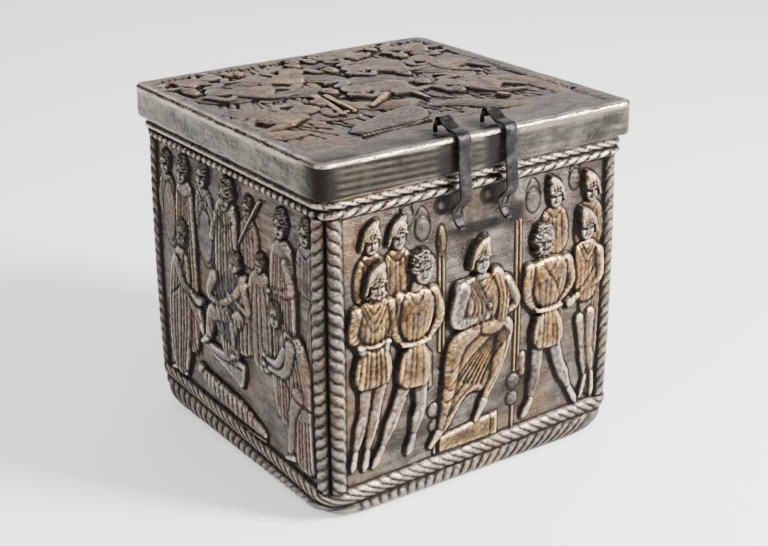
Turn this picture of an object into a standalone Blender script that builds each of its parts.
"""Silver reliquary casket: a square box with a loose cap lid and two iron hasps.

Metres, +Z up, origin on the ground under the middle of the whole, hasps included. The front,
with the hasps, faces -Y.
Each face is a height field over its own (u, v) plane, u to the right as seen from outside
and v upwards, painted figure by figure and then covered with as few triangles as it needs.
"""
import math

import bmesh
import bpy
import numpy as np
from mathutils import Vector
from mathutils.geometry import delaunay_2d_cdt

MM = 0.001

# Lid
LID_WIDTH = 0.206
LID_DEPTH = 0.201
LID_RIM_TOP = 0.2023
LID_SKIRT = 0.0192
LID_SHEET = 0.0018
LID_CORNER = 0.007
LID_EDGE = 0.0022
LID_BORDER = 0.0045
LID_SUNK = 0.001

# Box
WALL_INSET = 0.006
WALL = 0.0022
BOX_CORNER = 0.007
BOTTOM_CORNER = 0.003
BOTTOM_ROUND = 0.011
BOTTOM_SWELL = 0.024
SWELL_HEIGHT = 0.022
BELLY = 0.0012
COLLAR_STEP = 0.003
LEDGE_GAP = 0.0015
LID_REST_GAP = 0.0003

# Relief and mouldings. The figures are drawn for a box lower by SCENE_LIFT.
SCENE_LIFT = 0.008
RELIEF_MOST = 0.0058
LID_RELIEF_MOST = 0.0034
BAND_TOP_HEIGHT = 0.0105
BAND_TOP_RISE = 0.0042
BAND_BOTTOM_CORNERS = {"front": (0.014, 0.020), "right": (0.020, 0.021), "back": (0.021, 0.024),
                       "left": (0.024, 0.014)}
BAND_BOTTOM_STRAND = 0.0045
BAND_BOTTOM_LOW = -0.002
BAND_BOTTOM_RISE = 0.0028
ROPE_WIDTH = 0.0085
ROPE_RISE = 0.0026
CHEVRON_PITCH = 0.008
STROKE_PITCH = 0.007
ROPE_PITCH = 0.0064
BEAD_PITCH = 0.0058
STROKE_DEPTH = 0.30

# Hasps
HASP_XS = (-0.017, 0.0135)
STRAP_WIDTH = 0.0074
STRAP_THICK = 0.0014
EYE_WALL = 0.0012
BAR_RADIUS = 0.0012
BAR_PLAY = 0.0004
BAR_BACK = 0.0155
BAR_ABOVE = 0.0045
SLOT_WIDTH = 0.0036
SLOT_HEIGHT = 0.0064
STAPLE_WIRE = 0.0005
STAPLE_WIDTH = 0.0025
STAPLE_DROP = 0.0186
STAPLE_REACH = 0.0036
STAPLE_ROOT_GAP = 0.0006
BAR_FOOT_GAP = 0.0006
HASP_PLAIN_WIDE = 0.009
HASP_PLAIN_DEEP = 0.018

# How finely the faces are covered
FIELD_STEP = 0.0011
WALL_SHARES = (1050, 1950, 2050, 1050)
LID_SHARE = 1400
RING_FLAT = 5
RING_CORNER = 3

WALL_A = LID_WIDTH / 2 - WALL_INSET
WALL_B = LID_DEPTH / 2 - WALL_INSET
LEDGE_Z = LID_RIM_TOP - LID_SKIRT - LEDGE_GAP
MOUTH_Z = LID_RIM_TOP - LID_SUNK - LID_SHEET - LID_REST_GAP
BAND_TOP_LOW = LEDGE_Z - BAND_TOP_HEIGHT
STAPLE_Z = LID_RIM_TOP - LID_SKIRT - STAPLE_DROP
CURVE = BOTTOM_ROUND * math.pi / 2
V_LOW = BOTTOM_ROUND - CURVE


def clear_scene():
    for thing in list(bpy.data.objects):
        bpy.data.objects.remove(thing, do_unlink=True)


def material(name, color, roughness, metallic=1.0):
    made = bpy.data.materials.new(name)
    made.use_nodes = True
    shader = made.node_tree.nodes["Principled BSDF"]
    shader.inputs["Base Color"].default_value = (*color, 1.0)
    shader.inputs["Roughness"].default_value = roughness
    shader.inputs["Metallic"].default_value = metallic
    return made


# Shapes in the plane

def smooth_loop(points, times=2):
    """Round a closed outline by cutting its corners."""
    loop = np.asarray(points, float)
    for _ in range(times):
        after = np.roll(loop, -1, axis=0)
        loop = np.stack((0.75 * loop + 0.25 * after, 0.25 * loop + 0.75 * after), axis=1).reshape(-1, 2)
    return loop


def outline_gap(u, v, loop):
    """Distance to a closed outline, negative inside."""
    nearest = np.full(u.shape, np.inf)
    inside = np.zeros(u.shape, bool)
    for (ax, ay), (bx, by) in zip(loop, np.roll(loop, -1, axis=0)):
        ex, ey = bx - ax, by - ay
        along = np.clip(((u - ax) * ex + (v - ay) * ey) / max(ex * ex + ey * ey, 1e-18), 0, 1)
        nearest = np.minimum(nearest, (u - ax - along * ex) ** 2 + (v - ay - along * ey) ** 2)
        crosses = (ay > v) != (by > v)
        if abs(ey) > 1e-12:
            inside ^= crosses & (u < ax + (v - ay) * ex / ey)
    return np.where(inside, -1, 1) * np.sqrt(nearest)


def segment_gap(u, v, start, end, r_start, r_end):
    """Distance to the middle line of a tapering limb, and its half width there."""
    ex, ey = end[0] - start[0], end[1] - start[1]
    along = np.clip(((u - start[0]) * ex + (v - start[1]) * ey) / max(ex * ex + ey * ey, 1e-18), 0, 1)
    away = np.hypot(u - start[0] - along * ex, v - start[1] - along * ey)
    return away, r_start + (r_end - r_start) * along


def limited(height, most):
    """The height, bent over so that it never passes most."""
    return most * (1 - np.exp(-height / most))


def dome(share):
    """Height of a rounded section, from its edge (0) to where it levels off (1)."""
    return np.sqrt(1 - (1 - np.clip(share, 0, 1)) ** 2)


class Relief:
    """A height field over one face, painted shape by shape; what stands higher hides what is lower."""

    def __init__(self, us, vs):
        self.us, self.vs = us, vs
        self.height = np.zeros((len(vs), len(us)))

    def window(self, points, margin):
        low = np.min(points, axis=0) - margin
        high = np.max(points, axis=0) + margin
        rows = slice(*np.searchsorted(self.vs, (low[1], high[1])))
        cols = slice(*np.searchsorted(self.us, (low[0], high[0])))
        u, v = np.meshgrid(self.us[cols], self.vs[rows])
        return (rows, cols), u, v

    def lay(self, place, gap, top):
        height = self.height[place]
        wins = (gap < 0) & (top > height)
        height[wins] = top[wins]

    def limb(self, joints, radii, base, puff=0.75):
        joints = np.asarray(joints, float)
        place, u, v = self.window(joints, max(radii))
        gap = np.full(u.shape, np.inf)
        top = np.full(u.shape, -np.inf)
        for k in range(len(joints) - 1):
            away, radius = segment_gap(u, v, joints[k], joints[k + 1], radii[k], radii[k + 1])
            gap = np.minimum(gap, away - radius)
            top = np.maximum(top, base + puff * radius * dome(1 - away / radius))
        self.lay(place, gap, top)

    def oval(self, centre, half_u, half_v, base, rise, tilt=0.0):
        reach = max(half_u, half_v)
        place, u, v = self.window([centre], reach)
        x, y = u - centre[0], v - centre[1]
        side = (x * math.cos(tilt) + y * math.sin(tilt)) / half_u
        up = (y * math.cos(tilt) - x * math.sin(tilt)) / half_v
        away = np.hypot(side, up)
        self.lay(place, (away - 1) * min(half_u, half_v), base + rise * dome(1 - away))

    def cloth(self, points, base, rise, edge, pleats=0, depth=0.0, slant=0.0):
        """A draped area: pillow edge, and pleats that run down it."""
        loop = smooth_loop(points)
        place, u, v = self.window(loop, 0)
        gap = outline_gap(u, v, loop)
        top = base + rise * dome(-gap / edge)
        if pleats:
            left, right = loop[:, 0].min(), loop[:, 0].max()
            across = (u - left + slant * (v - loop[:, 1].min())) / (right - left)
            top = top + depth * np.cos(2 * math.pi * pleats * across) * np.clip(-gap / edge, 0, 1)
        self.lay(place, gap, top)


# People of the relief; places are shares of the figure's own height

def head(relief, centre, size, base, cap=False, beard=False, turn=0.0, bulk=1.0):
    """A plain oval head: size is from crown to chin."""
    u, v = centre
    wide = 0.36 * size * bulk
    relief.oval((u, v), wide * 1.12, 0.52 * size, base, 0.26 * size)
    relief.oval((u + turn * wide * 0.3, v - 0.1 * size), wide * 0.8, 0.42 * size, base, 0.32 * size)
    relief.limb([(u + turn * wide * 0.5, v + 0.06 * size), (u + turn * wide * 0.6, v - 0.1 * size)],
                (0.05 * size, 0.085 * size), base + 0.27 * size, 1.0)
    if cap:
        relief.limb([(u - turn * wide * 0.2, v + 0.34 * size), (u - turn * wide * 0.5, v + 0.6 * size)],
                    (0.36 * size, 0.2 * size), base, 0.95)
    if beard:
        relief.oval((u + turn * wide * 0.4, v - 0.42 * size), wide * 0.75, 0.32 * size, base, 0.34 * size)


def standing(relief, u, feet, tall, base, lean=0.0, dress="tunic", step=0.06, arms=(), wide=1.0):
    """Legs, body and arms of a standing figure, without the head; returns the neck point."""
    def at(x, y):
        return (u + (x + lean * y) * tall, feet + y * tall)

    shoulder, waist = 0.125 * wide, 0.085 * wide
    thick = 0.042 * tall
    if dress == "tunic":
        for side in (-1, 1):
            relief.limb([at(side * 0.045, 0.5), at(side * (0.045 + step * 0.4), 0.27),
                         at(side * (0.04 + step), 0.05), at(side * (0.04 + step) - 0.03, 0.015)],
                        (thick * 1.15, thick * 0.85, thick * 0.5, thick * 0.45), base * 0.3, 0.8)
        relief.cloth([at(-waist, 0.56), at(waist, 0.56), at(waist + 0.035, 0.37), at(-waist - 0.035, 0.37)],
                     base, 0.03 * tall, 0.022 * tall, pleats=4, depth=0.006 * tall)
    elif dress == "robe":
        relief.cloth([at(-waist, 0.6), at(waist, 0.6), at(waist + 0.035, 0.03), at(-waist - 0.035, 0.03)],
                     base, 0.03 * tall, 0.025 * tall, pleats=4, depth=0.007 * tall)
    relief.cloth([at(-shoulder, 0.8), at(-0.04, 0.845), at(0.04, 0.845), at(shoulder, 0.8),
                  at(waist, 0.56), at(-waist, 0.56)],
                 base, 0.038 * tall, 0.035 * tall, pleats=2, depth=0.004 * tall)
    for arm in arms:
        relief.limb([at(*joint) for joint in arm], (0.036 * tall, 0.032 * tall, 0.024 * tall),
                    base + 0.012 * tall, 0.95)
    return at(0, 0.84)


def front_scene(relief):
    """Bound men led by guards to a ruler on a throne."""
    for u, v, size, rise in ((-70.5, 147.5, 16.5, 0.6), (-54, 147, 16, 0.8), (-38.5, 149, 14, 0.1),
                             (51, 148.5, 16, 0.9),
                             (77, 147, 16, 0.9), (66, 154, 12, 0.1), (37, 151, 15, 0.0)):
        head(relief, (u * MM, v * MM), size * MM, rise * MM, cap=True)
    for u, wide in ((-70, 9), (-52, 9), (52, 9), (76, 10)):
        relief.cloth([((u - wide) * MM, 134 * MM), ((u + wide) * MM, 134 * MM),
                      ((u + wide) * MM, 112 * MM), ((u - wide) * MM, 112 * MM)], 0, 2.2 * MM, 3 * MM)
    relief.cloth([(-40 * MM, 60 * MM), (-27 * MM, 60 * MM), (-27 * MM, 22 * MM), (-38 * MM, 22 * MM)],
                 0, 1.2 * MM, 2 * MM, pleats=2, depth=0.4 * MM)
    captive_left(relief)
    guard(relief, -43, -39, 1.0)
    ruler(relief)
    guard(relief, 48, 43, -1.0)
    far_man(relief)


def captive_left(relief):
    neck = standing(relief, -71 * MM, 19 * MM, 116 * MM, 1.4 * MM, step=0.02, lean=0.03,
                    arms=(((-0.1, 0.76), (-0.12, 0.62), (0.0, 0.585)),
                          ((0.11, 0.76), (0.12, 0.64), (0.03, 0.585))))
    head(relief, (neck[0] + 1.5 * MM, 128 * MM), 17.5 * MM, 2.2 * MM, cap=True, beard=True, turn=0.5)
    relief.limb([(-79 * MM, 91 * MM), (-71 * MM, 86 * MM), (-62 * MM, 92 * MM)],
                (2.2 * MM, 4.2 * MM, 2.2 * MM), 2.4 * MM, 0.9)


def guard(relief, u, face_u, turn):
    """A bareheaded man in a belted tunic, with his hands behind him."""
    standing(relief, u * MM, 20 * MM, 118 * MM, 1.8 * MM, step=0.1, wide=1.08,
             arms=(((-0.115, 0.77), (-0.145, 0.66), (-0.09, 0.57)),
                   ((0.115, 0.77), (0.145, 0.66), (0.09, 0.57))))
    head(relief, (face_u * MM, 129.5 * MM), 18.5 * MM, 3 * MM, turn=turn * 0.2, beard=turn < 0, bulk=1.1)
    relief.limb([((u - 9) * MM, 86 * MM), ((u + 9) * MM, 86 * MM)], (1.2 * MM, 1.2 * MM), 4.6 * MM, 0.8)


def ruler(relief):
    """The seated man in a cap, his mantle over the knees and his feet on a box."""
    relief.cloth([(-26 * MM, 26 * MM), (13 * MM, 30 * MM), (13 * MM, 13 * MM), (-28 * MM, 13 * MM)],
                 0, 1.8 * MM, 1.2 * MM)
    for u, low, high in ((-26, 77, 140), (27, 48, 135), (-30, 14, 26), (26, 14, 27)):
        relief.limb([(u * MM, low * MM), (u * MM, high * MM)], (1.4 * MM, 1.4 * MM), 0, 0.8)
    for u, v, r in ((-29.5, 41, 5), (-29, 31.5, 4.4), (25, 44, 5.4), (25, 33, 4.6)):
        relief.oval((u * MM, v * MM), r * MM, r * MM, 0, 1.6 * MM)
    relief.oval((-26 * MM, 138 * MM), 2.8 * MM, 8 * MM, 0, 1.8 * MM)
    relief.cloth([(-14 * MM, 86 * MM), (14 * MM, 88 * MM), (24 * MM, 80 * MM), (22 * MM, 60 * MM),
                  (-6 * MM, 30 * MM),
                  (-24 * MM, 26 * MM), (-24 * MM, 60 * MM), (-21 * MM, 76 * MM)],
                 1.2 * MM, 2.6 * MM, 4 * MM, pleats=4, depth=0.6 * MM, slant=-0.5)
    relief.limb([(-6 * MM, 88 * MM), (-18 * MM, 72 * MM), (-25 * MM, 30 * MM)], (6 * MM, 6.5 * MM, 3 * MM),
                1.2 * MM, 0.75)
    relief.limb([(4 * MM, 88 * MM), (17 * MM, 82 * MM), (3 * MM, 38 * MM)], (6 * MM, 6.5 * MM, 3 * MM),
                1.6 * MM, 0.75)
    for u, v in ((-28, 26), (0, 33)):
        relief.limb([(u * MM, v * MM), ((u - 4) * MM, (v - 3) * MM)], (2.6 * MM, 2.2 * MM), 1.5 * MM, 0.9)
    relief.cloth([(-16 * MM, 112 * MM), (-5 * MM, 117 * MM), (8 * MM, 117 * MM), (17 * MM, 110 * MM),
                  (15 * MM, 84 * MM),
                  (-14 * MM, 84 * MM)], 2 * MM, 4 * MM, 5 * MM, pleats=2, depth=0.5 * MM, slant=0.6)
    relief.limb([(-13 * MM, 110 * MM), (-17 * MM, 91 * MM), (0 * MM, 88 * MM)],
                (4.4 * MM, 4 * MM, 2.8 * MM), 3.2 * MM)
    relief.limb([(13 * MM, 108 * MM), (17 * MM, 94 * MM), (4 * MM, 99 * MM)],
                (4.2 * MM, 3.6 * MM, 2.6 * MM), 3.4 * MM)
    head(relief, (1 * MM, 127 * MM), 17 * MM, 3 * MM, cap=True, turn=0.7, bulk=1.05)


def far_man(relief):
    neck = standing(relief, 76 * MM, 18 * MM, 117 * MM, 1.4 * MM, step=0.03, dress="tunic",
                    arms=(((0.08, 0.77), (0.1, 0.65), (-0.12, 0.57)),))
    relief.cloth([(71 * MM, 112 * MM), (86 * MM, 112 * MM), (87 * MM, 20 * MM), (82 * MM, 20 * MM)],
                 0.8 * MM, 2.2 * MM, 2.5 * MM, pleats=2, depth=0.4 * MM)
    head(relief, (neck[0] - 3 * MM, 129 * MM), 17 * MM, 2.6 * MM, cap=True, turn=-0.5)


def left_scene(relief):
    """A crowd of attendants round a seated man, a mourner and one who lies at his feet."""
    for u, v, half_u, half_v, rise in ((-69, 124, 9, 22, 1.2), (-27, 121, 10, 20, 2.2),
                                       (-27, 121, 7, 16, 2.8),
                                       (83, 88, 6, 24, 1.6)):
        relief.oval((u * MM, v * MM), half_u * MM, half_v * MM, 0, rise * MM)
    for u, low, tall, wide in ((-52, 40, 119, 1.1), (-1, 52, 110, 1.3), (56, 42, 117, 1.2),
                               (35, 62, 66, 1.2)):
        standing(relief, u * MM, low * MM, tall * MM, 0.8 * MM, dress="robe", wide=wide)
    for u, v, size, rise in ((-72.5, 152.5, 15, 0.5), (-51.5, 153, 17, 1), (-28.5, 156.5, 17, 0.6),
                             (-0.5, 152.5, 20, 1.4),
                             (21.5, 151, 14, 0.5), (55, 151.5, 16.5, 1), (79, 153, 15, 0.3),
                             (35, 124, 11, 2)):
        head(relief, (u * MM, v * MM), size * MM, rise * MM)
    relief.limb([(33 * MM, 156 * MM), (3 * MM, 116 * MM)], (0.9 * MM, 0.9 * MM), 2.2 * MM, 0.8)
    neck = standing(relief, -57 * MM, 20 * MM, 106 * MM, 2 * MM, dress="robe", wide=1.2,
                    arms=(((-0.02, 0.74), (0.06, 0.58), (0.17, 0.52)),
                          ((0.05, 0.72), (0.12, 0.6), (0.2, 0.53))))
    head(relief, (neck[0] + 5 * MM, 117 * MM), 15 * MM, 2.6 * MM, beard=True, turn=0.6)
    seated_judge(relief)
    mourner(relief)
    lying_figure(relief)


def seated_judge(relief):
    relief.cloth([(-34 * MM, 53 * MM), (-26 * MM, 57 * MM), (13 * MM, 57 * MM), (13 * MM, 41 * MM),
                  (2 * MM, 37 * MM)],
                 0.6 * MM, 2.6 * MM, 1.4 * MM)
    relief.cloth([(-22 * MM, 98 * MM), (-2 * MM, 108 * MM), (20 * MM, 110 * MM), (26 * MM, 96 * MM),
                  (20 * MM, 66 * MM),
                  (-20 * MM, 64 * MM)], 1 * MM, 4 * MM, 5 * MM, pleats=3, depth=0.6 * MM, slant=0.5)
    relief.limb([(0 * MM, 82 * MM), (-18 * MM, 76 * MM), (-29 * MM, 56 * MM)], (6 * MM, 6 * MM, 2.6 * MM),
                2 * MM, 0.8)
    relief.limb([(8 * MM, 84 * MM), (6 * MM, 78 * MM), (1 * MM, 57 * MM)], (6 * MM, 5.6 * MM, 2.6 * MM),
                2.2 * MM, 0.8)
    relief.limb([(-14 * MM, 100 * MM), (-19 * MM, 86 * MM), (-4 * MM, 80 * MM)],
                (4 * MM, 3.6 * MM, 2.6 * MM), 3.4 * MM)
    relief.limb([(17 * MM, 104 * MM), (20 * MM, 90 * MM), (4 * MM, 92 * MM)], (4 * MM, 3.4 * MM, 2.4 * MM),
                3.4 * MM)
    head(relief, (9 * MM, 117 * MM), 13 * MM, 3.4 * MM, turn=0.4, bulk=1.1)


def mourner(relief):
    relief.cloth([(52 * MM, 92 * MM), (68 * MM, 95 * MM), (86 * MM, 80 * MM), (88 * MM, 50 * MM),
                  (85 * MM, 15 * MM),
                  (62 * MM, 15 * MM), (66 * MM, 44 * MM), (52 * MM, 72 * MM)],
                 1 * MM, 3.6 * MM, 5 * MM, pleats=3, depth=0.5 * MM, slant=0.3)
    relief.limb([(62 * MM, 84 * MM), (52 * MM, 66 * MM), (36 * MM, 66 * MM)],
                (4.6 * MM, 3.4 * MM, 2.2 * MM), 2.4 * MM)
    relief.limb([(64 * MM, 20 * MM), (55 * MM, 17 * MM)], (2.4 * MM, 2 * MM), 0.8 * MM)
    head(relief, (51 * MM, 101 * MM), 15 * MM, 2.6 * MM, turn=-0.7, bulk=1.15)


def lying_figure(relief):
    relief.limb([(-38 * MM, 33 * MM), (-20 * MM, 27 * MM), (8 * MM, 24 * MM), (30 * MM, 20 * MM)],
                (4.5 * MM, 7 * MM, 6.5 * MM, 3.5 * MM), 0.8 * MM, 0.6)
    relief.limb([(-14 * MM, 15.5 * MM), (30 * MM, 16 * MM)], (1.4 * MM, 1.4 * MM), 0.6 * MM)


def plain_scene(relief, half, first):
    """The sides away from view: a quiet row of robed figures, with heads between them."""
    count = 6
    for k in range(count):
        u = (-1 + (2 * k + 1) / count) * (half - ROPE_WIDTH - 4 * MM)
        head(relief, (u + 13 * MM * (1 if k < count / 2 else -1), 152 * MM), 15 * MM, 0.4 * MM, cap=first)
    for k in range(count):
        u = (-1 + (2 * k + 1) / count) * (half - ROPE_WIDTH - 4 * MM)
        side = 1 if k % 2 else -1
        dress = "tunic" if (k % 3 == 1) == first else "robe"
        neck = standing(relief, u, 20 * MM, 118 * MM, 1.4 * MM, dress=dress,
                        arms=(((side * 0.1, 0.76), (side * 0.11, 0.64), (-side * 0.03, 0.63)),))
        head(relief, (neck[0], 129.5 * MM), 17 * MM, 2.4 * MM, beard=k % 2 == 0, turn=0.3 * side)


def strand(across, phase, pitch, lean):
    """A rope's section with slanting strokes: 1 on its crown, 0 at its edges and lower in its grooves."""
    section = dome(1 - np.abs(across))
    wave = np.abs(np.sin(math.pi * (phase / pitch + lean * across + 0.12 * np.sin(math.pi * across))))
    return section * (1 - STROKE_DEPTH + STROKE_DEPTH * np.sqrt(wave))


def mouldings(relief, half, face):
    """Corner ropes, the band under the lid and the band along the bottom edge."""
    u, v = np.meshgrid(relief.us, relief.vs)
    for side in (-1, 1):
        across = (side * u - (half - ROPE_WIDTH / 2)) / (ROPE_WIDTH / 2)
        rope = ROPE_RISE * strand(across, v, ROPE_PITCH, -0.5)
        relief.height = np.where(np.abs(across) < 1, rope, relief.height)
    first, last = BAND_BOTTOM_CORNERS[face]
    middle = first + (last - first) * (u + half) / (2 * half)
    low_reach = (middle - BAND_BOTTOM_STRAND - BAND_BOTTOM_LOW) / 2
    strands = ((middle, BAND_BOTTOM_STRAND, 0.5), (BAND_BOTTOM_LOW + low_reach, low_reach, -0.5))
    for centre, reach, lean in strands:
        across = (v - centre) / reach
        low = BAND_BOTTOM_RISE * strand(across, u, STROKE_PITCH, lean)
        relief.height = np.where(np.abs(across) < 1, low, relief.height)
    rows = ((1, -0.5), (-1, 0.5))
    for row, lean in rows:
        quarter = BAND_TOP_HEIGHT / 4
        across = (v - (LEDGE_Z - 2 * quarter) - row * quarter) / quarter
        if face == "left":
            top = (row > 0) * BAND_TOP_RISE * dome(1 - np.abs(across)) + (row < 0) * beads(u, across)
        else:
            top = BAND_TOP_RISE * strand(across, u, CHEVRON_PITCH, lean)
        relief.height = np.where(np.abs(across) < 1, np.maximum(top, 0), relief.height)
    relief.height[v > LEDGE_Z - BAND_TOP_HEIGHT / 4] = np.maximum(
        relief.height, COLLAR_STEP)[v > LEDGE_Z - BAND_TOP_HEIGHT / 4]
    relief.height[v > LEDGE_Z - FIELD_STEP] = COLLAR_STEP


def beads(u, across):
    step = (u / BEAD_PITCH - np.round(u / BEAD_PITCH)) * 2
    return BAND_TOP_RISE * 0.8 * dome(1 - np.hypot(step, across))


def lid_scene(relief):
    """Low figures on the lid: a seated group in the middle, two groups beside it and a long jar in front."""
    for u, v, half_u, half_v, tilt in ((-12, -58, 36, 11, 0.12), (44, -56, 16, 8, -0.1)):
        relief.oval((u * MM, v * MM), half_u * MM, half_v * MM, 0, 2.2 * MM, tilt)
    for u, v, tall, wide in ((-66, -38, 96, 1.3), (-36, -30, 88, 1.2), (0, -34, 104, 1.4),
                             (38, -34, 92, 1.3), (68, -40, 92, 1.2)):
        neck = standing(relief, u * MM, v * MM, tall * MM, 0.6 * MM, dress="robe", wide=wide,
                        arms=(((0.1, 0.76), (0.16, 0.62), (0.02, 0.5)),
                              ((-0.1, 0.76), (-0.17, 0.64), (-0.24, 0.56))))
        head(relief, (neck[0], neck[1] + 0.09 * tall * MM), 0.165 * tall * MM, 1 * MM)
    for u, v in ((-84, 66), (-50, 70), (-20, 76), (20, 74), (52, 68), (84, 62)):
        head(relief, (u * MM, v * MM), 13 * MM, 0.4 * MM)


# The box's own surface

SIDES = (("back", (-1, 0), (0, 1)), ("left", (0, -1), (-1, 0)), ("front", (1, 0), (0, -1)),
         ("right", (0, 1), (1, 0)))


def side_half(k, half_a, half_b):
    return half_a if k % 2 == 0 else half_b


def side_reach(k, corner=BOX_CORNER):
    """Half the length of side k along the rounded outline, to the middle of each corner."""
    return side_half(k, WALL_A, WALL_B) - corner + corner * math.pi / 4


def swell(z):
    """What the corners' radius gains towards the ground."""
    return BOTTOM_SWELL * np.clip(1 - z / SWELL_HEIGHT, 0, 1) ** 2


def rounded_point(k, u, out, half_a, half_b, corner, corner_least, gain=0.0):
    """Points of side k of a rounded rectangle moved outwards by out."""
    along_dir, out_dir = np.array(SIDES[k][1], float), np.array(SIDES[k][2], float)
    half, away = side_half(k, half_a, half_b), side_half(k + 1, half_a, half_b)
    radius = np.maximum(corner + out, corner_least) + gain
    flat, flat_now = half - corner, half + out - radius
    angle = np.clip((np.abs(u) - flat) / corner, 0, None)
    along = np.sign(u) * (np.minimum(np.abs(u) / flat, 1) * flat_now + radius * np.sin(angle))
    outward = away + out - radius * (1 - np.cos(angle))
    return along[..., None] * along_dir + outward[..., None] * out_dir


def profile(v):
    """Outward place, height and slope of the bare wall at v, which runs on round the bottom edge."""
    turn = np.clip((v - V_LOW) / BOTTOM_ROUND, 0, math.pi / 2)
    out = -BOTTOM_ROUND * (1 - np.sin(turn))
    z = np.where(v < BOTTOM_ROUND, BOTTOM_ROUND * (1 - np.cos(turn)), v)
    climb = np.clip((v - BOTTOM_ROUND) / (BAND_TOP_LOW - BOTTOM_ROUND), 0, 1)
    return out + BELLY * np.sin(math.pi * climb), z, np.sin(turn), -np.cos(turn)


class WallSurface:
    """The outside of the four walls, unrolled: s runs round the box from the back, v up it."""

    def __init__(self):
        self.starts = np.cumsum([0] + [2 * side_reach(k) for k in range(4)])
        self.length = self.starts[-1]
        self.low, self.high = V_LOW, LEDGE_Z
        vs = np.linspace(self.low, self.high, round((self.high - self.low) / FIELD_STEP) + 1)
        self.fields = []
        for k, (face, _, _) in enumerate(SIDES):
            half = side_reach(k)
            relief = Relief(np.linspace(-half, half, round(2 * half / FIELD_STEP) + 1), vs)
            self.paint(relief, face, half)
            relief.height[relief.vs <= V_LOW + FIELD_STEP] = 0
            self.fields.append(relief)

    def paint(self, relief, face, half):
        relief.vs = relief.vs - SCENE_LIFT
        if face == "front":
            front_scene(relief)
        elif face == "left":
            left_scene(relief)
        else:
            plain_scene(relief, half, face == "back")
        relief.vs = relief.vs + SCENE_LIFT
        relief.height = limited(relief.height, RELIEF_MOST)
        mouldings(relief, half, face)

    def place(self, points):
        """3-D places of (s, v) points."""
        s, v = points[:, 0], points[:, 1]
        out, z, out_slope, z_slope = profile(v)
        result = np.zeros((len(points), 3))
        for k, relief in enumerate(self.fields):
            mine = (s >= self.starts[k]) & ((s < self.starts[k + 1]) | (k == 3))
            u = s[mine] - self.starts[k] - side_reach(k)
            high = np.minimum(sample(relief, u, v[mine]), z[mine] / np.maximum(-z_slope[mine], 1e-6))
            moved = out[mine] + high * out_slope[mine]
            gain = swell(z[mine])
            result[mine, :2] = rounded_point(k, u, moved, WALL_A, WALL_B, BOX_CORNER, BOTTOM_CORNER, gain)
            result[mine, 2] = z[mine] + high * z_slope[mine]
        return result


def sample(relief, u, v):
    """The painted height between its grid lines."""
    col = np.clip((u - relief.us[0]) / (relief.us[1] - relief.us[0]), 0, len(relief.us) - 1.000001)
    row = np.clip((v - relief.vs[0]) / (relief.vs[1] - relief.vs[0]), 0, len(relief.vs) - 1.000001)
    i, j = row.astype(int), col.astype(int)
    p, q = row - i, col - j
    field = relief.height
    lower = field[i, j] * (1 - q) + field[i, j + 1] * q
    upper = field[i + 1, j] * (1 - q) + field[i + 1, j + 1] * q
    return lower * (1 - p) + upper * p


def ring_stations():
    """Where the rings' vertices stand on each side: (side, u), no corner's middle twice."""
    stations = []
    for k in range(4):
        flat, reach = side_half(k, WALL_A, WALL_B) - BOX_CORNER, side_reach(k)
        us = list(np.linspace(-reach, -flat, RING_CORNER)) + list(np.linspace(-flat, flat,
                                                                              RING_FLAT + 1))[1:-1]
        us += list(np.linspace(flat, reach, RING_CORNER))[:-1]
        stations += [(k, u) for u in us]
    return stations


def ring(stations, half_a, half_b, corner, z):
    """A rounded-rectangle ring of vertices at height z; u is scaled to this ring's own sides."""
    points = []
    for k, u in stations:
        flat, flat_here = side_half(k, WALL_A, WALL_B) - BOX_CORNER, side_half(k, half_a, half_b) - corner
        if abs(u) <= flat:
            here = u / flat * flat_here
        else:
            here = math.copysign(flat_here + (abs(u) - flat) / BOX_CORNER * corner, u)
        x, y = rounded_point(k, np.array(here), np.array(0.0), half_a, half_b, corner, corner)
        points.append((x, y, z))
    return points


def thinned(relief, count):
    """The painted field as a net of about count triangles: its points and edges in the plane."""
    index = np.arange(relief.height.size).reshape(relief.height.shape)
    quads = np.stack((index[:-1, :-1], index[:-1, 1:], index[1:, 1:], index[1:, :-1]), -1).reshape(-1, 4)
    u, v = np.meshgrid(relief.us, relief.vs)
    data = bpy.data.meshes.new("field")
    data.from_pydata(np.stack((u, v, relief.height), -1).reshape(-1, 3).tolist(), [], quads.tolist())
    net = bpy.data.objects.new("field", data)
    bpy.context.collection.objects.link(net)
    thin = net.modifiers.new("thin", "DECIMATE")
    thin.ratio = count / (2 * len(quads))
    held = net.evaluated_get(bpy.context.evaluated_depsgraph_get())
    result = held.to_mesh()
    points = [(vert.co.x, vert.co.y) for vert in result.vertices]
    edges = [tuple(edge.vertices) for edge in result.edges]
    held.to_mesh_clear()
    bpy.data.objects.remove(net, do_unlink=True)
    bpy.data.meshes.remove(data)
    return points, edges


def cover(edge, nets, extra, keep_off, place):
    """Join nets of points and edges into one set of triangles inside edge, and place it in space."""
    points, lines = list(edge), [(k, (k + 1) % len(edge)) for k in range(len(edge))]
    for net_points, net_edges in nets:
        kept = {}
        for k, spot in enumerate(net_points):
            if keep_off(spot):
                kept[k] = len(points)
                points.append(spot)
        lines += [(kept[a], kept[b]) for a, b in net_edges if a in kept and b in kept]
    points += extra
    verts, _, faces, origins, _, _ = delaunay_2d_cdt([Vector(p) for p in points], lines,
                                                     [list(range(len(edge)))], 1, 1e-7)
    flat = np.array([tuple(p) for p in verts])
    return flat, place(flat), faces, origins


def add_points(mesh, points):
    return [mesh.verts.new(p) for p in points]


def bridge(mesh, lower, upper):
    for k in range(len(lower)):
        after = (k + 1) % len(lower)
        mesh.faces.new((lower[k], lower[after], upper[after], upper[k]))


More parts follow.
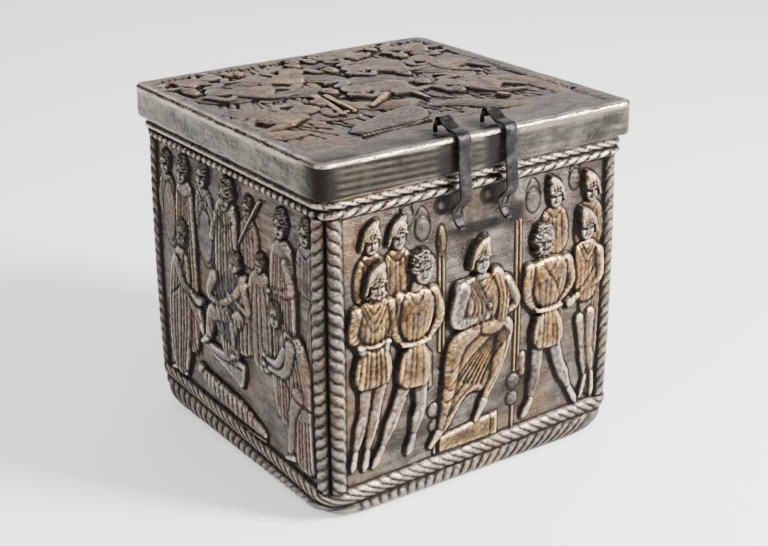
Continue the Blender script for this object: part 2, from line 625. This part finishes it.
def finish(mesh, name, skin, smooth=False):
    data = bpy.data.meshes.new(name)
    bmesh.ops.recalc_face_normals(mesh, faces=mesh.faces)
    mesh.to_mesh(data)
    mesh.free()
    for face in data.polygons:
        face.use_smooth = smooth
    made = bpy.data.objects.new(name, data)
    data.materials.append(skin)
    bpy.context.collection.objects.link(made)
    return made


def build_box(skin):
    surface = WallSurface()
    stations = ring_stations()
    along = [surface.starts[k] + side_reach(k) + u for k, u in stations]
    seam = list(np.linspace(surface.low, surface.high, 12))
    edge = [(s, surface.low) for s in along] + [(surface.length, v) for v in seam]
    edge += [(s, surface.high) for s in reversed(along)] + [(0.0, v) for v in reversed(seam[1:-1])]
    corners = [s for s, (k, u) in zip(along, stations) if abs(u) > side_half(k, WALL_A,
                                                                             WALL_B) - BOX_CORNER * 1.01]
    extra = [(s, v) for s in corners[1:] for v in seam[3:-1:2]]
    extra += [(s, v) for s in along[1:] for v in np.linspace(V_LOW, BOTTOM_ROUND, 4)[1:]]
    margin = FIELD_STEP
    nets = []
    for first_s, k, relief, share in zip(surface.starts, range(4), surface.fields, WALL_SHARES):
        points, edges = thinned(relief, share)
        reach = side_reach(k)
        nets.append(([(first_s + reach + u, v) for u, v in points], edges))

    def keep_off(spot):
        across = margin < spot[0] < surface.length - margin
        return across and surface.low + margin < spot[1] < surface.high - margin

    flat, solid, tris, origins = cover(edge, nets, extra, keep_off, surface.place)
    mesh = bmesh.new()
    first = {}
    verts = []
    count = len(along)
    for index, point in enumerate(solid):
        s, v = flat[index]
        wrapped = (0.0 if s > surface.length - margin / 2 else round(s, 7), round(v, 7))
        on_seam = s < margin / 2 or s > surface.length - margin / 2
        if on_seam and wrapped in first:
            verts.append(first[wrapped])
            continue
        verts.append(mesh.verts.new(point))
        if on_seam:
            first[wrapped] = verts[-1]
    by_origin = {origin: verts[index] for index, sources in enumerate(origins) for origin in sources}
    for a, b, c in tris:
        mesh.faces.new((verts[a], verts[b], verts[c]))
    foot = [by_origin[k] for k in range(count)]
    top_first = count + len(seam)
    ledge = [by_origin[top_first + k] for k in range(count)][::-1]
    close_box(mesh, stations, foot, ledge)
    return finish(mesh, "casket_box", skin)


def close_box(mesh, stations, foot, ledge):
    """Underside, collar, mouth, inner walls and floor."""
    def level(out, z):
        corner = BOX_CORNER + max(out, -WALL) + float(swell(z - WALL))
        return add_points(mesh, ring(stations, WALL_A + out, WALL_B + out, corner, z))

    mesh.faces.new(foot[::-1])
    rings = [ledge,
             level(COLLAR_STEP, MOUTH_Z),
             level(COLLAR_STEP - WALL, MOUTH_Z),
             level(COLLAR_STEP - WALL, LEDGE_Z - BAND_TOP_HEIGHT / 4),
             level(-WALL, BAND_TOP_LOW - BAND_TOP_HEIGHT / 4),
             level(-WALL, SWELL_HEIGHT + WALL),
             level(-WALL, BOTTOM_ROUND + WALL),
             level(-WALL - BOTTOM_ROUND / 3, BOTTOM_ROUND / 3 + WALL),
             level(-WALL - BOTTOM_ROUND, WALL)]
    for lower, upper in zip(rings, rings[1:]):
        bridge(mesh, lower, upper)
    mesh.faces.new(rings[-1])


class LidSurface:
    """The lid's top: a narrow raised border round a sunk and slightly wavy picture."""

    def __init__(self, half_a, half_b):
        self.half_a, self.half_b = half_a, half_b
        us = np.linspace(-half_a, half_a, round(2 * half_a / FIELD_STEP) + 1)
        vs = np.linspace(-half_b, half_b, round(2 * half_b / FIELD_STEP) + 1)
        self.relief = Relief(us, vs)
        lid_scene(self.relief)
        self.relief.height = limited(self.relief.height, LID_RELIEF_MOST)
        u, v = np.meshgrid(us, vs)
        inward = np.minimum(half_a - np.abs(u), half_b - np.abs(v))
        border = 1 - np.clip((inward - LID_BORDER) / LID_BORDER, 0, 1) ** 2
        for x in HASP_XS:
            beside = np.hypot((u - x) / HASP_PLAIN_WIDE, (v + half_b) / HASP_PLAIN_DEEP)
            self.relief.height *= np.clip(beside * 4 - 4, 0, 1)
        self.relief.height = (self.relief.height - LID_SUNK) * (1 - border)

    def place(self, points):
        high = sample(self.relief, points[:, 0], points[:, 1])
        return np.column_stack((points[:, 0], points[:, 1], LID_RIM_TOP + high))


def build_lid(skin):
    half_a, half_b = LID_WIDTH / 2, LID_DEPTH / 2
    stations = ring_stations()

    def level(inset, z):
        return ring(stations, half_a - inset, half_b - inset, max(LID_CORNER - inset, 2 * MM), z)

    surface = LidSurface(half_a - LID_EDGE, half_b - LID_EDGE)
    rim = level(LID_EDGE, LID_RIM_TOP)
    edge = [(x, y) for x, y, _ in rim]
    limit_a, limit_b = half_a - 2 * LID_EDGE, half_b - 2 * LID_EDGE

    def keep_off(spot):
        over = (max(abs(spot[0]) - limit_a + LID_CORNER, 0), max(abs(spot[1]) - limit_b + LID_CORNER, 0))
        return math.hypot(*over) < LID_CORNER

    nets = [thinned(surface.relief, LID_SHARE)]
    flat, solid, tris, origins = cover(edge, nets, [], keep_off, surface.place)
    mesh = bmesh.new()
    verts = add_points(mesh, solid)
    by_origin = {origin: verts[index] for index, sources in enumerate(origins) for origin in sources}
    for a, b, c in tris:
        mesh.faces.new((verts[a], verts[b], verts[c]))
    skirt_z = LID_RIM_TOP - LID_SKIRT
    under_z = LID_RIM_TOP - LID_SUNK - LID_SHEET
    rings = [[by_origin[k] for k in range(len(edge))]]
    for inset, z in ((LID_EDGE * 0.3, LID_RIM_TOP - LID_EDGE * 0.3), (0, LID_RIM_TOP - LID_EDGE),
                     (0, skirt_z),
                     (LID_SHEET, skirt_z), (LID_SHEET, under_z)):
        rings.append(add_points(mesh, level(inset, z)))
    for lower, upper in zip(rings, rings[1:]):
        bridge(mesh, lower, upper)
    mesh.faces.new(rings[-1])
    return finish(mesh, "casket_lid", skin)


# Hasps

BAR_Y = -LID_DEPTH / 2 + BAR_BACK
BAR_Z = LID_RIM_TOP + BAR_ABOVE
EYE_RADIUS = BAR_RADIUS + BAR_PLAY
STRAP_FALL = -LID_DEPTH / 2 - 0.0022
WALL_FACE = -WALL_B - BELLY


def strap_line():
    """The strap's middle line in (y, z), from its eye over the lid's edge to the curled tip."""
    eye = [(BAR_Y + (EYE_RADIUS + EYE_WALL / 2) * math.sin(a),
            BAR_Z + (EYE_RADIUS + EYE_WALL / 2) * math.cos(a))
           for a in np.radians(np.arange(150, -1, -30) * 1.0)]
    eye += [(BAR_Y - (EYE_RADIUS + EYE_WALL / 2) * math.sin(a),
             BAR_Z + (EYE_RADIUS + EYE_WALL / 2) * math.cos(a))
            for a in np.radians(np.arange(30, 61, 30) * 1.0)]
    over = [(-LID_DEPTH / 2 + 0.004, LID_RIM_TOP + 0.0022), (STRAP_FALL + 0.0015, LID_RIM_TOP + 0.0005),
            (STRAP_FALL, LID_RIM_TOP - 0.003)]
    hang = [(STRAP_FALL - 0.001, LID_RIM_TOP - LID_SKIRT), (STRAP_FALL - 0.0025, STAPLE_Z + 0.0065)]
    tail = [(WALL_FACE - 0.0024, STAPLE_Z - 0.0055), (WALL_FACE - 0.0042, STAPLE_Z - 0.0105),
            (WALL_FACE - 0.0062, STAPLE_Z - 0.0125)]
    return eye + over + hang + tail


def strap_widths(count):
    """Full width along the strap, drawn in behind the curled tip."""
    widths = np.full(count, STRAP_WIDTH)
    widths[-2] = STRAP_WIDTH * 0.62
    widths[-1] = STRAP_WIDTH * 0.5
    return widths


def build_hasp(name, x, skin):
    line = np.array(strap_line())
    ways = np.gradient(line, axis=0)
    ways /= np.linalg.norm(ways, axis=1)[:, None]
    normals = np.stack((ways[:, 1], -ways[:, 0]), axis=1) * STRAP_THICK / 2
    mesh = bmesh.new()
    sections = []
    for (y, z), (ny, nz), wide in zip(line, normals, strap_widths(len(line))):
        half = wide / 2
        corners = ((-half, y + ny, z + nz), (half, y + ny, z + nz), (half, y - ny, z - nz),
                   (-half, y - ny, z - nz))
        sections.append(add_points(mesh, [(cx, cy - BAR_Y, cz - BAR_Z) for cx, cy, cz in corners]))
    for lower, upper in zip(sections, sections[1:]):
        bridge(mesh, lower, upper)
    mesh.faces.new(sections[0][::-1])
    mesh.faces.new(sections[-1])
    strap = finish(mesh, name, skin)
    strap.location = (x, BAR_Y, BAR_Z)
    cutter = box_between(name + "_slot_cutter", (x - SLOT_WIDTH / 2, WALL_FACE - 0.02,
                                                 STAPLE_Z + 0.0012 - SLOT_HEIGHT),
                         (x + SLOT_WIDTH / 2, WALL_FACE + 0.001, STAPLE_Z + 0.0012))
    cut = strap.modifiers.new("slot", "BOOLEAN")
    cut.operation, cut.object, cut.solver = "DIFFERENCE", cutter, "EXACT"
    return strap


def box_between(name, low, high):
    mesh = bmesh.new()
    bmesh.ops.create_cube(mesh, size=1)
    for vert in mesh.verts:
        vert.co = Vector([low[k] + (vert.co[k] + 0.5) * (high[k] - low[k]) for k in range(3)])
    data = bpy.data.meshes.new(name)
    mesh.to_mesh(data)
    mesh.free()
    made = bpy.data.objects.new(name, data)
    made.hide_render = True
    made.display_type = "WIRE"
    bpy.context.collection.objects.link(made)
    return made


def wire(mesh, path, radius, around=8):
    """A round wire along a flat path."""
    path = [Vector(p) for p in path]
    side = (path[1] - path[0]).cross(path[-1] - path[0])
    if side.length < 1e-12:
        side = Vector((0, 0, 1))
    side.normalize()
    rings = []
    for k, point in enumerate(path):
        before = path[max(k - 1, 0)]
        after = path[min(k + 1, len(path) - 1)]
        way = (after - point).normalized() + (point - before).normalized()
        way.normalize()
        out = way.cross(side)
        bend = 1.0
        if 0 < k < len(path) - 1:
            bend = 1 / max(0.5, (after - point).normalized().dot(way))
        rings.append([mesh.verts.new(point + out * math.cos(a) * radius * bend + side * math.sin(a) * radius)
                      for a in np.arange(around) * 2 * math.pi / around])
    for lower, upper in zip(rings, rings[1:]):
        bridge(mesh, lower, upper)
    mesh.faces.new(rings[0][::-1])
    mesh.faces.new(rings[-1])


def build_lid_staple(name, x, skin):
    """The bar that the hasp turns on, bent down into the lid at both ends."""
    reach = STRAP_WIDTH / 2 + 0.0016
    foot = LID_RIM_TOP - LID_SUNK + BAR_FOOT_GAP
    mesh = bmesh.new()
    wire(mesh, [(x - reach, BAR_Y, foot), (x - reach, BAR_Y, BAR_Z - 0.0008),
                (x - reach + 0.0008, BAR_Y, BAR_Z),
                (x + reach - 0.0008, BAR_Y, BAR_Z), (x + reach, BAR_Y, BAR_Z - 0.0008),
                (x + reach, BAR_Y, foot)],
         BAR_RADIUS)
    return finish(mesh, name, skin, smooth=True)


def build_front_staple(name, x, skin):
    half = STAPLE_WIDTH / 2 - STAPLE_WIRE
    root, tip = WALL_FACE - STAPLE_ROOT_GAP, WALL_FACE - STAPLE_ROOT_GAP - STAPLE_REACH
    mesh = bmesh.new()
    wire(mesh, [(x - half, root, STAPLE_Z), (x - half, tip + 0.0004, STAPLE_Z),
                (x - half + 0.0003, tip, STAPLE_Z),
                (x + half - 0.0003, tip, STAPLE_Z), (x + half, tip + 0.0004, STAPLE_Z),
                (x + half, root, STAPLE_Z)],
         STAPLE_WIRE)
    return finish(mesh, name, skin, smooth=True)


def centre_depth():
    """The hasps stand out in front of the lid, so all is moved back until its middle is over the origin."""
    ends = [made.location.y + vert.co.y for made in bpy.data.objects if not made.hide_render
            for vert in made.data.vertices]
    shift = -(min(ends) + max(ends)) / 2
    for made in bpy.data.objects:
        made.location.y += shift


def main():
    clear_scene()
    silver = material("silver_gilt", (0.56, 0.5, 0.43), 0.38)
    lid_silver = material("lid_silver", (0.42, 0.39, 0.35), 0.42)
    iron = material("dark_iron", (0.07, 0.07, 0.068), 0.5)
    build_box(silver)
    build_lid(lid_silver)
    for side, x in zip(("left", "right"), HASP_XS):
        build_hasp("hasp_" + side, x, iron)
        build_lid_staple("lid_staple_" + side, x, iron)
        build_front_staple("front_staple_" + side, x, iron)
    centre_depth()


main()
